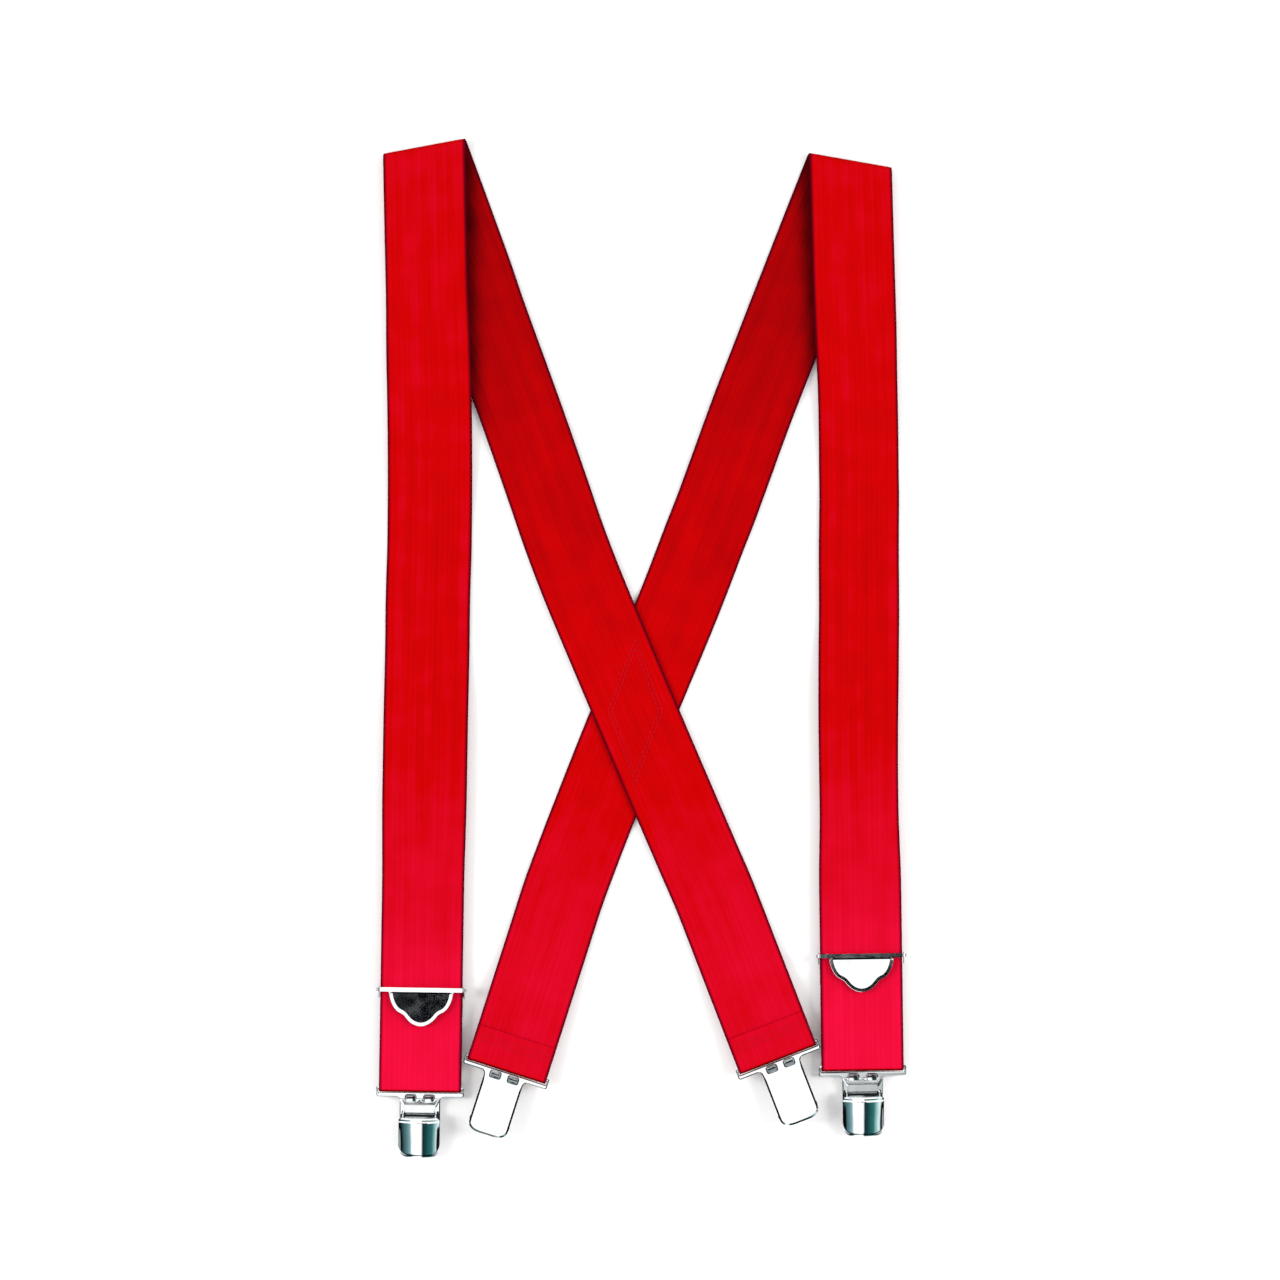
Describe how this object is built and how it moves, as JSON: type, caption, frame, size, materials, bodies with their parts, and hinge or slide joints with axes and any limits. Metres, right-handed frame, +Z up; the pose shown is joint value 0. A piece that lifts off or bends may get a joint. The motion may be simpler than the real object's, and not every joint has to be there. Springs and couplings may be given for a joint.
{
  "type": "suspenders",
  "caption": "Clip-on trouser suspenders in wide red elastic webbing, crossed at the back, with slide adjusters and lever clips, laid flat with the shoulders folded.",
  "frame": {"origin": "middle of the outline of the laid-out suspenders, on the table that they lie on", "axes": "+Z up from the table, +Y towards the shoulder folds, +X to the right seen from above with the shoulders at the top; left and right are as seen in that view"},
  "size_m": [0.3276, 0.6304, 0.0133],
  "materials": {
    "elastic_webbing": "matt woven elastic",
    "sewing_thread": "matt thread",
    "nickel_chrome_plate": "bright plated",
    "spring_steel": "satin plated",
    "grip_plastic": "moulded, matt"
  },
  "bodies": {
    "webbing": {"left_strap": "elastic_webbing", "right_strap": "elastic_webbing", "left_back_hem_thread": "sewing_thread", "right_back_hem_thread": "sewing_thread", "cross_seam_thread": "sewing_thread"},
    "left_front_loop": {"left_front_bight": "elastic_webbing"},
    "left_adjuster": {"left_adjuster_frame": "nickel_chrome_plate", "left_adjuster_pin": "spring_steel", "left_return_web": "elastic_webbing"},
    "left_adjuster_lever": {"left_adjuster_lever": "nickel_chrome_plate"},
    "left_front_clip": {"left_front_clip_plate": "nickel_chrome_plate", "left_front_clip_pin": "spring_steel", "left_front_clip_tongue_grip": "grip_plastic"},
    "left_front_clip_jaw": {"left_front_clip_jaw": "spring_steel", "left_front_clip_jaw_grip": "grip_plastic"},
    "left_front_clip_lever": {"left_front_clip_lever": "nickel_chrome_plate"},
    "left_back_clip": {"left_back_clip_plate": "nickel_chrome_plate", "left_back_clip_pin": "spring_steel", "left_back_clip_tongue_grip": "grip_plastic"},
    "left_back_clip_jaw": {"left_back_clip_jaw": "spring_steel", "left_back_clip_jaw_grip": "grip_plastic"},
    "left_back_clip_lever": {"left_back_clip_lever": "nickel_chrome_plate"},
    "right_front_loop": {"right_front_bight": "elastic_webbing"},
    "right_adjuster": {"right_adjuster_frame": "nickel_chrome_plate", "right_adjuster_pin": "spring_steel", "right_return_web": "elastic_webbing"},
    "right_adjuster_lever": {"right_adjuster_lever": "nickel_chrome_plate"},
    "right_front_clip": {"right_front_clip_plate": "nickel_chrome_plate", "right_front_clip_pin": "spring_steel", "right_front_clip_tongue_grip": "grip_plastic"},
    "right_front_clip_jaw": {"right_front_clip_jaw": "spring_steel", "right_front_clip_jaw_grip": "grip_plastic"},
    "right_front_clip_lever": {"right_front_clip_lever": "nickel_chrome_plate"},
    "right_back_clip": {"right_back_clip_plate": "nickel_chrome_plate", "right_back_clip_pin": "spring_steel", "right_back_clip_tongue_grip": "grip_plastic"},
    "right_back_clip_jaw": {"right_back_clip_jaw": "spring_steel", "right_back_clip_jaw_grip": "grip_plastic"},
    "right_back_clip_lever": {"right_back_clip_lever": "nickel_chrome_plate"}
  },
  "joints": [
    {"name": "left_front_slide", "type": "slide", "parent": "webbing", "child": "left_front_loop", "axis": [0.0157, 0.9999, 0], "range_m": [0, 0.075], "deforming": ["left_strap"]},
    {"name": "left_adjuster_slide", "type": "slide", "parent": "left_front_loop", "child": "left_adjuster", "axis": [0.0157, 0.9999, 0], "range_m": [0, 0.075], "deforming": ["left_return_web"]},
    {"name": "left_adjuster_lever_flip", "type": "hinge", "parent": "left_adjuster", "child": "left_adjuster_lever", "pos_m": [-0.13581, -0.21107, 0.00835], "axis": [-0.9999, 0.0157, 0], "range_deg": [0, 110]},
    {"name": "left_front_clip_swivel", "type": "hinge", "parent": "left_front_loop", "child": "left_front_clip", "pos_m": [-0.13677, -0.27226, 0.0041], "axis": [-0.9999, 0.0157, 0], "range_deg": [-85, 85]},
    {"name": "left_front_clip_lever_open", "type": "hinge", "parent": "left_front_clip", "child": "left_front_clip_lever", "pos_m": [-0.13704, -0.28911, 0.00774], "axis": [-0.9999, 0.0157, 0], "range_deg": [0, 90]},
    {"name": "left_front_clip_jaw_open", "type": "hinge", "parent": "left_front_clip", "child": "left_front_clip_jaw", "pos_m": [-0.13688, -0.27875, 0.00492], "axis": [-0.9999, 0.0157, 0], "range_deg": [0, 6.3]},
    {"name": "left_back_clip_swivel", "type": "hinge", "parent": "webbing", "child": "left_back_clip", "pos_m": [0.08362, -0.25193, 0.008], "axis": [-0.9323, -0.3616, 0], "range_deg": [-85, 85]},
    {"name": "left_back_clip_lever_open", "type": "hinge", "parent": "left_back_clip", "child": "left_back_clip_lever", "pos_m": [0.08975, -0.26774, 0.00485], "axis": [0.9323, 0.3616, 0], "range_deg": [0, 90]},
    {"name": "left_back_clip_jaw_open", "type": "hinge", "parent": "left_back_clip", "child": "left_back_clip_jaw", "pos_m": [0.08597, -0.258, 0.00736], "axis": [0.9323, 0.3616, 0], "range_deg": [0, 6.3]},
    {"name": "right_front_slide", "type": "slide", "parent": "webbing", "child": "right_front_loop", "axis": [-0.014, 0.9999, 0], "range_m": [0, 0.075], "deforming": ["right_strap"]},
    {"name": "right_adjuster_slide", "type": "slide", "parent": "right_front_loop", "child": "right_adjuster", "axis": [-0.014, 0.9999, 0], "range_m": [0, 0.075], "deforming": ["right_return_web"]},
    {"name": "right_adjuster_lever_flip", "type": "hinge", "parent": "right_adjuster", "child": "right_adjuster_lever", "pos_m": [0.13582, -0.18995, 0.00835], "axis": [-0.9999, -0.014, 0], "range_deg": [0, 110]},
    {"name": "right_front_clip_swivel", "type": "hinge", "parent": "right_front_loop", "child": "right_front_clip", "pos_m": [0.13678, -0.25915, 0.0041], "axis": [-0.9999, -0.014, 0], "range_deg": [-85, 85]},
    {"name": "right_front_clip_lever_open", "type": "hinge", "parent": "right_front_clip", "child": "right_front_clip_lever", "pos_m": [0.13702, -0.276, 0.00774], "axis": [-0.9999, -0.014, 0], "range_deg": [0, 90]},
    {"name": "right_front_clip_jaw_open", "type": "hinge", "parent": "right_front_clip", "child": "right_front_clip_jaw", "pos_m": [0.13687, -0.26563, 0.00492], "axis": [-0.9999, -0.014, 0], "range_deg": [0, 6.3]},
    {"name": "right_back_clip_swivel", "type": "hinge", "parent": "webbing", "child": "right_back_clip", "pos_m": [-0.0827, -0.25918, 0.008], "axis": [-0.9521, 0.3057, 0], "range_deg": [-85, 85]},
    {"name": "right_back_clip_lever_open", "type": "hinge", "parent": "right_back_clip", "child": "right_back_clip_lever", "pos_m": [-0.08788, -0.27532, 0.00485], "axis": [0.9521, -0.3057, 0], "range_deg": [0, 90]},
    {"name": "right_back_clip_jaw_open", "type": "hinge", "parent": "right_back_clip", "child": "right_back_clip_jaw", "pos_m": [-0.08469, -0.26538, 0.00736], "axis": [0.9521, -0.3057, 0], "range_deg": [0, 6.3]}
  ],
  "couplings": [
    {"joint": "left_adjuster_slide", "follows": "left_front_slide", "ratio": 1},
    {"joint": "left_front_clip_jaw_open", "follows": "left_front_clip_lever_open", "ratio": 0.07},
    {"joint": "left_back_clip_jaw_open", "follows": "left_back_clip_lever_open", "ratio": 0.07},
    {"joint": "right_adjuster_slide", "follows": "right_front_slide", "ratio": 1},
    {"joint": "right_front_clip_jaw_open", "follows": "right_front_clip_lever_open", "ratio": 0.07},
    {"joint": "right_back_clip_jaw_open", "follows": "right_back_clip_lever_open", "ratio": 0.07}
  ]
}
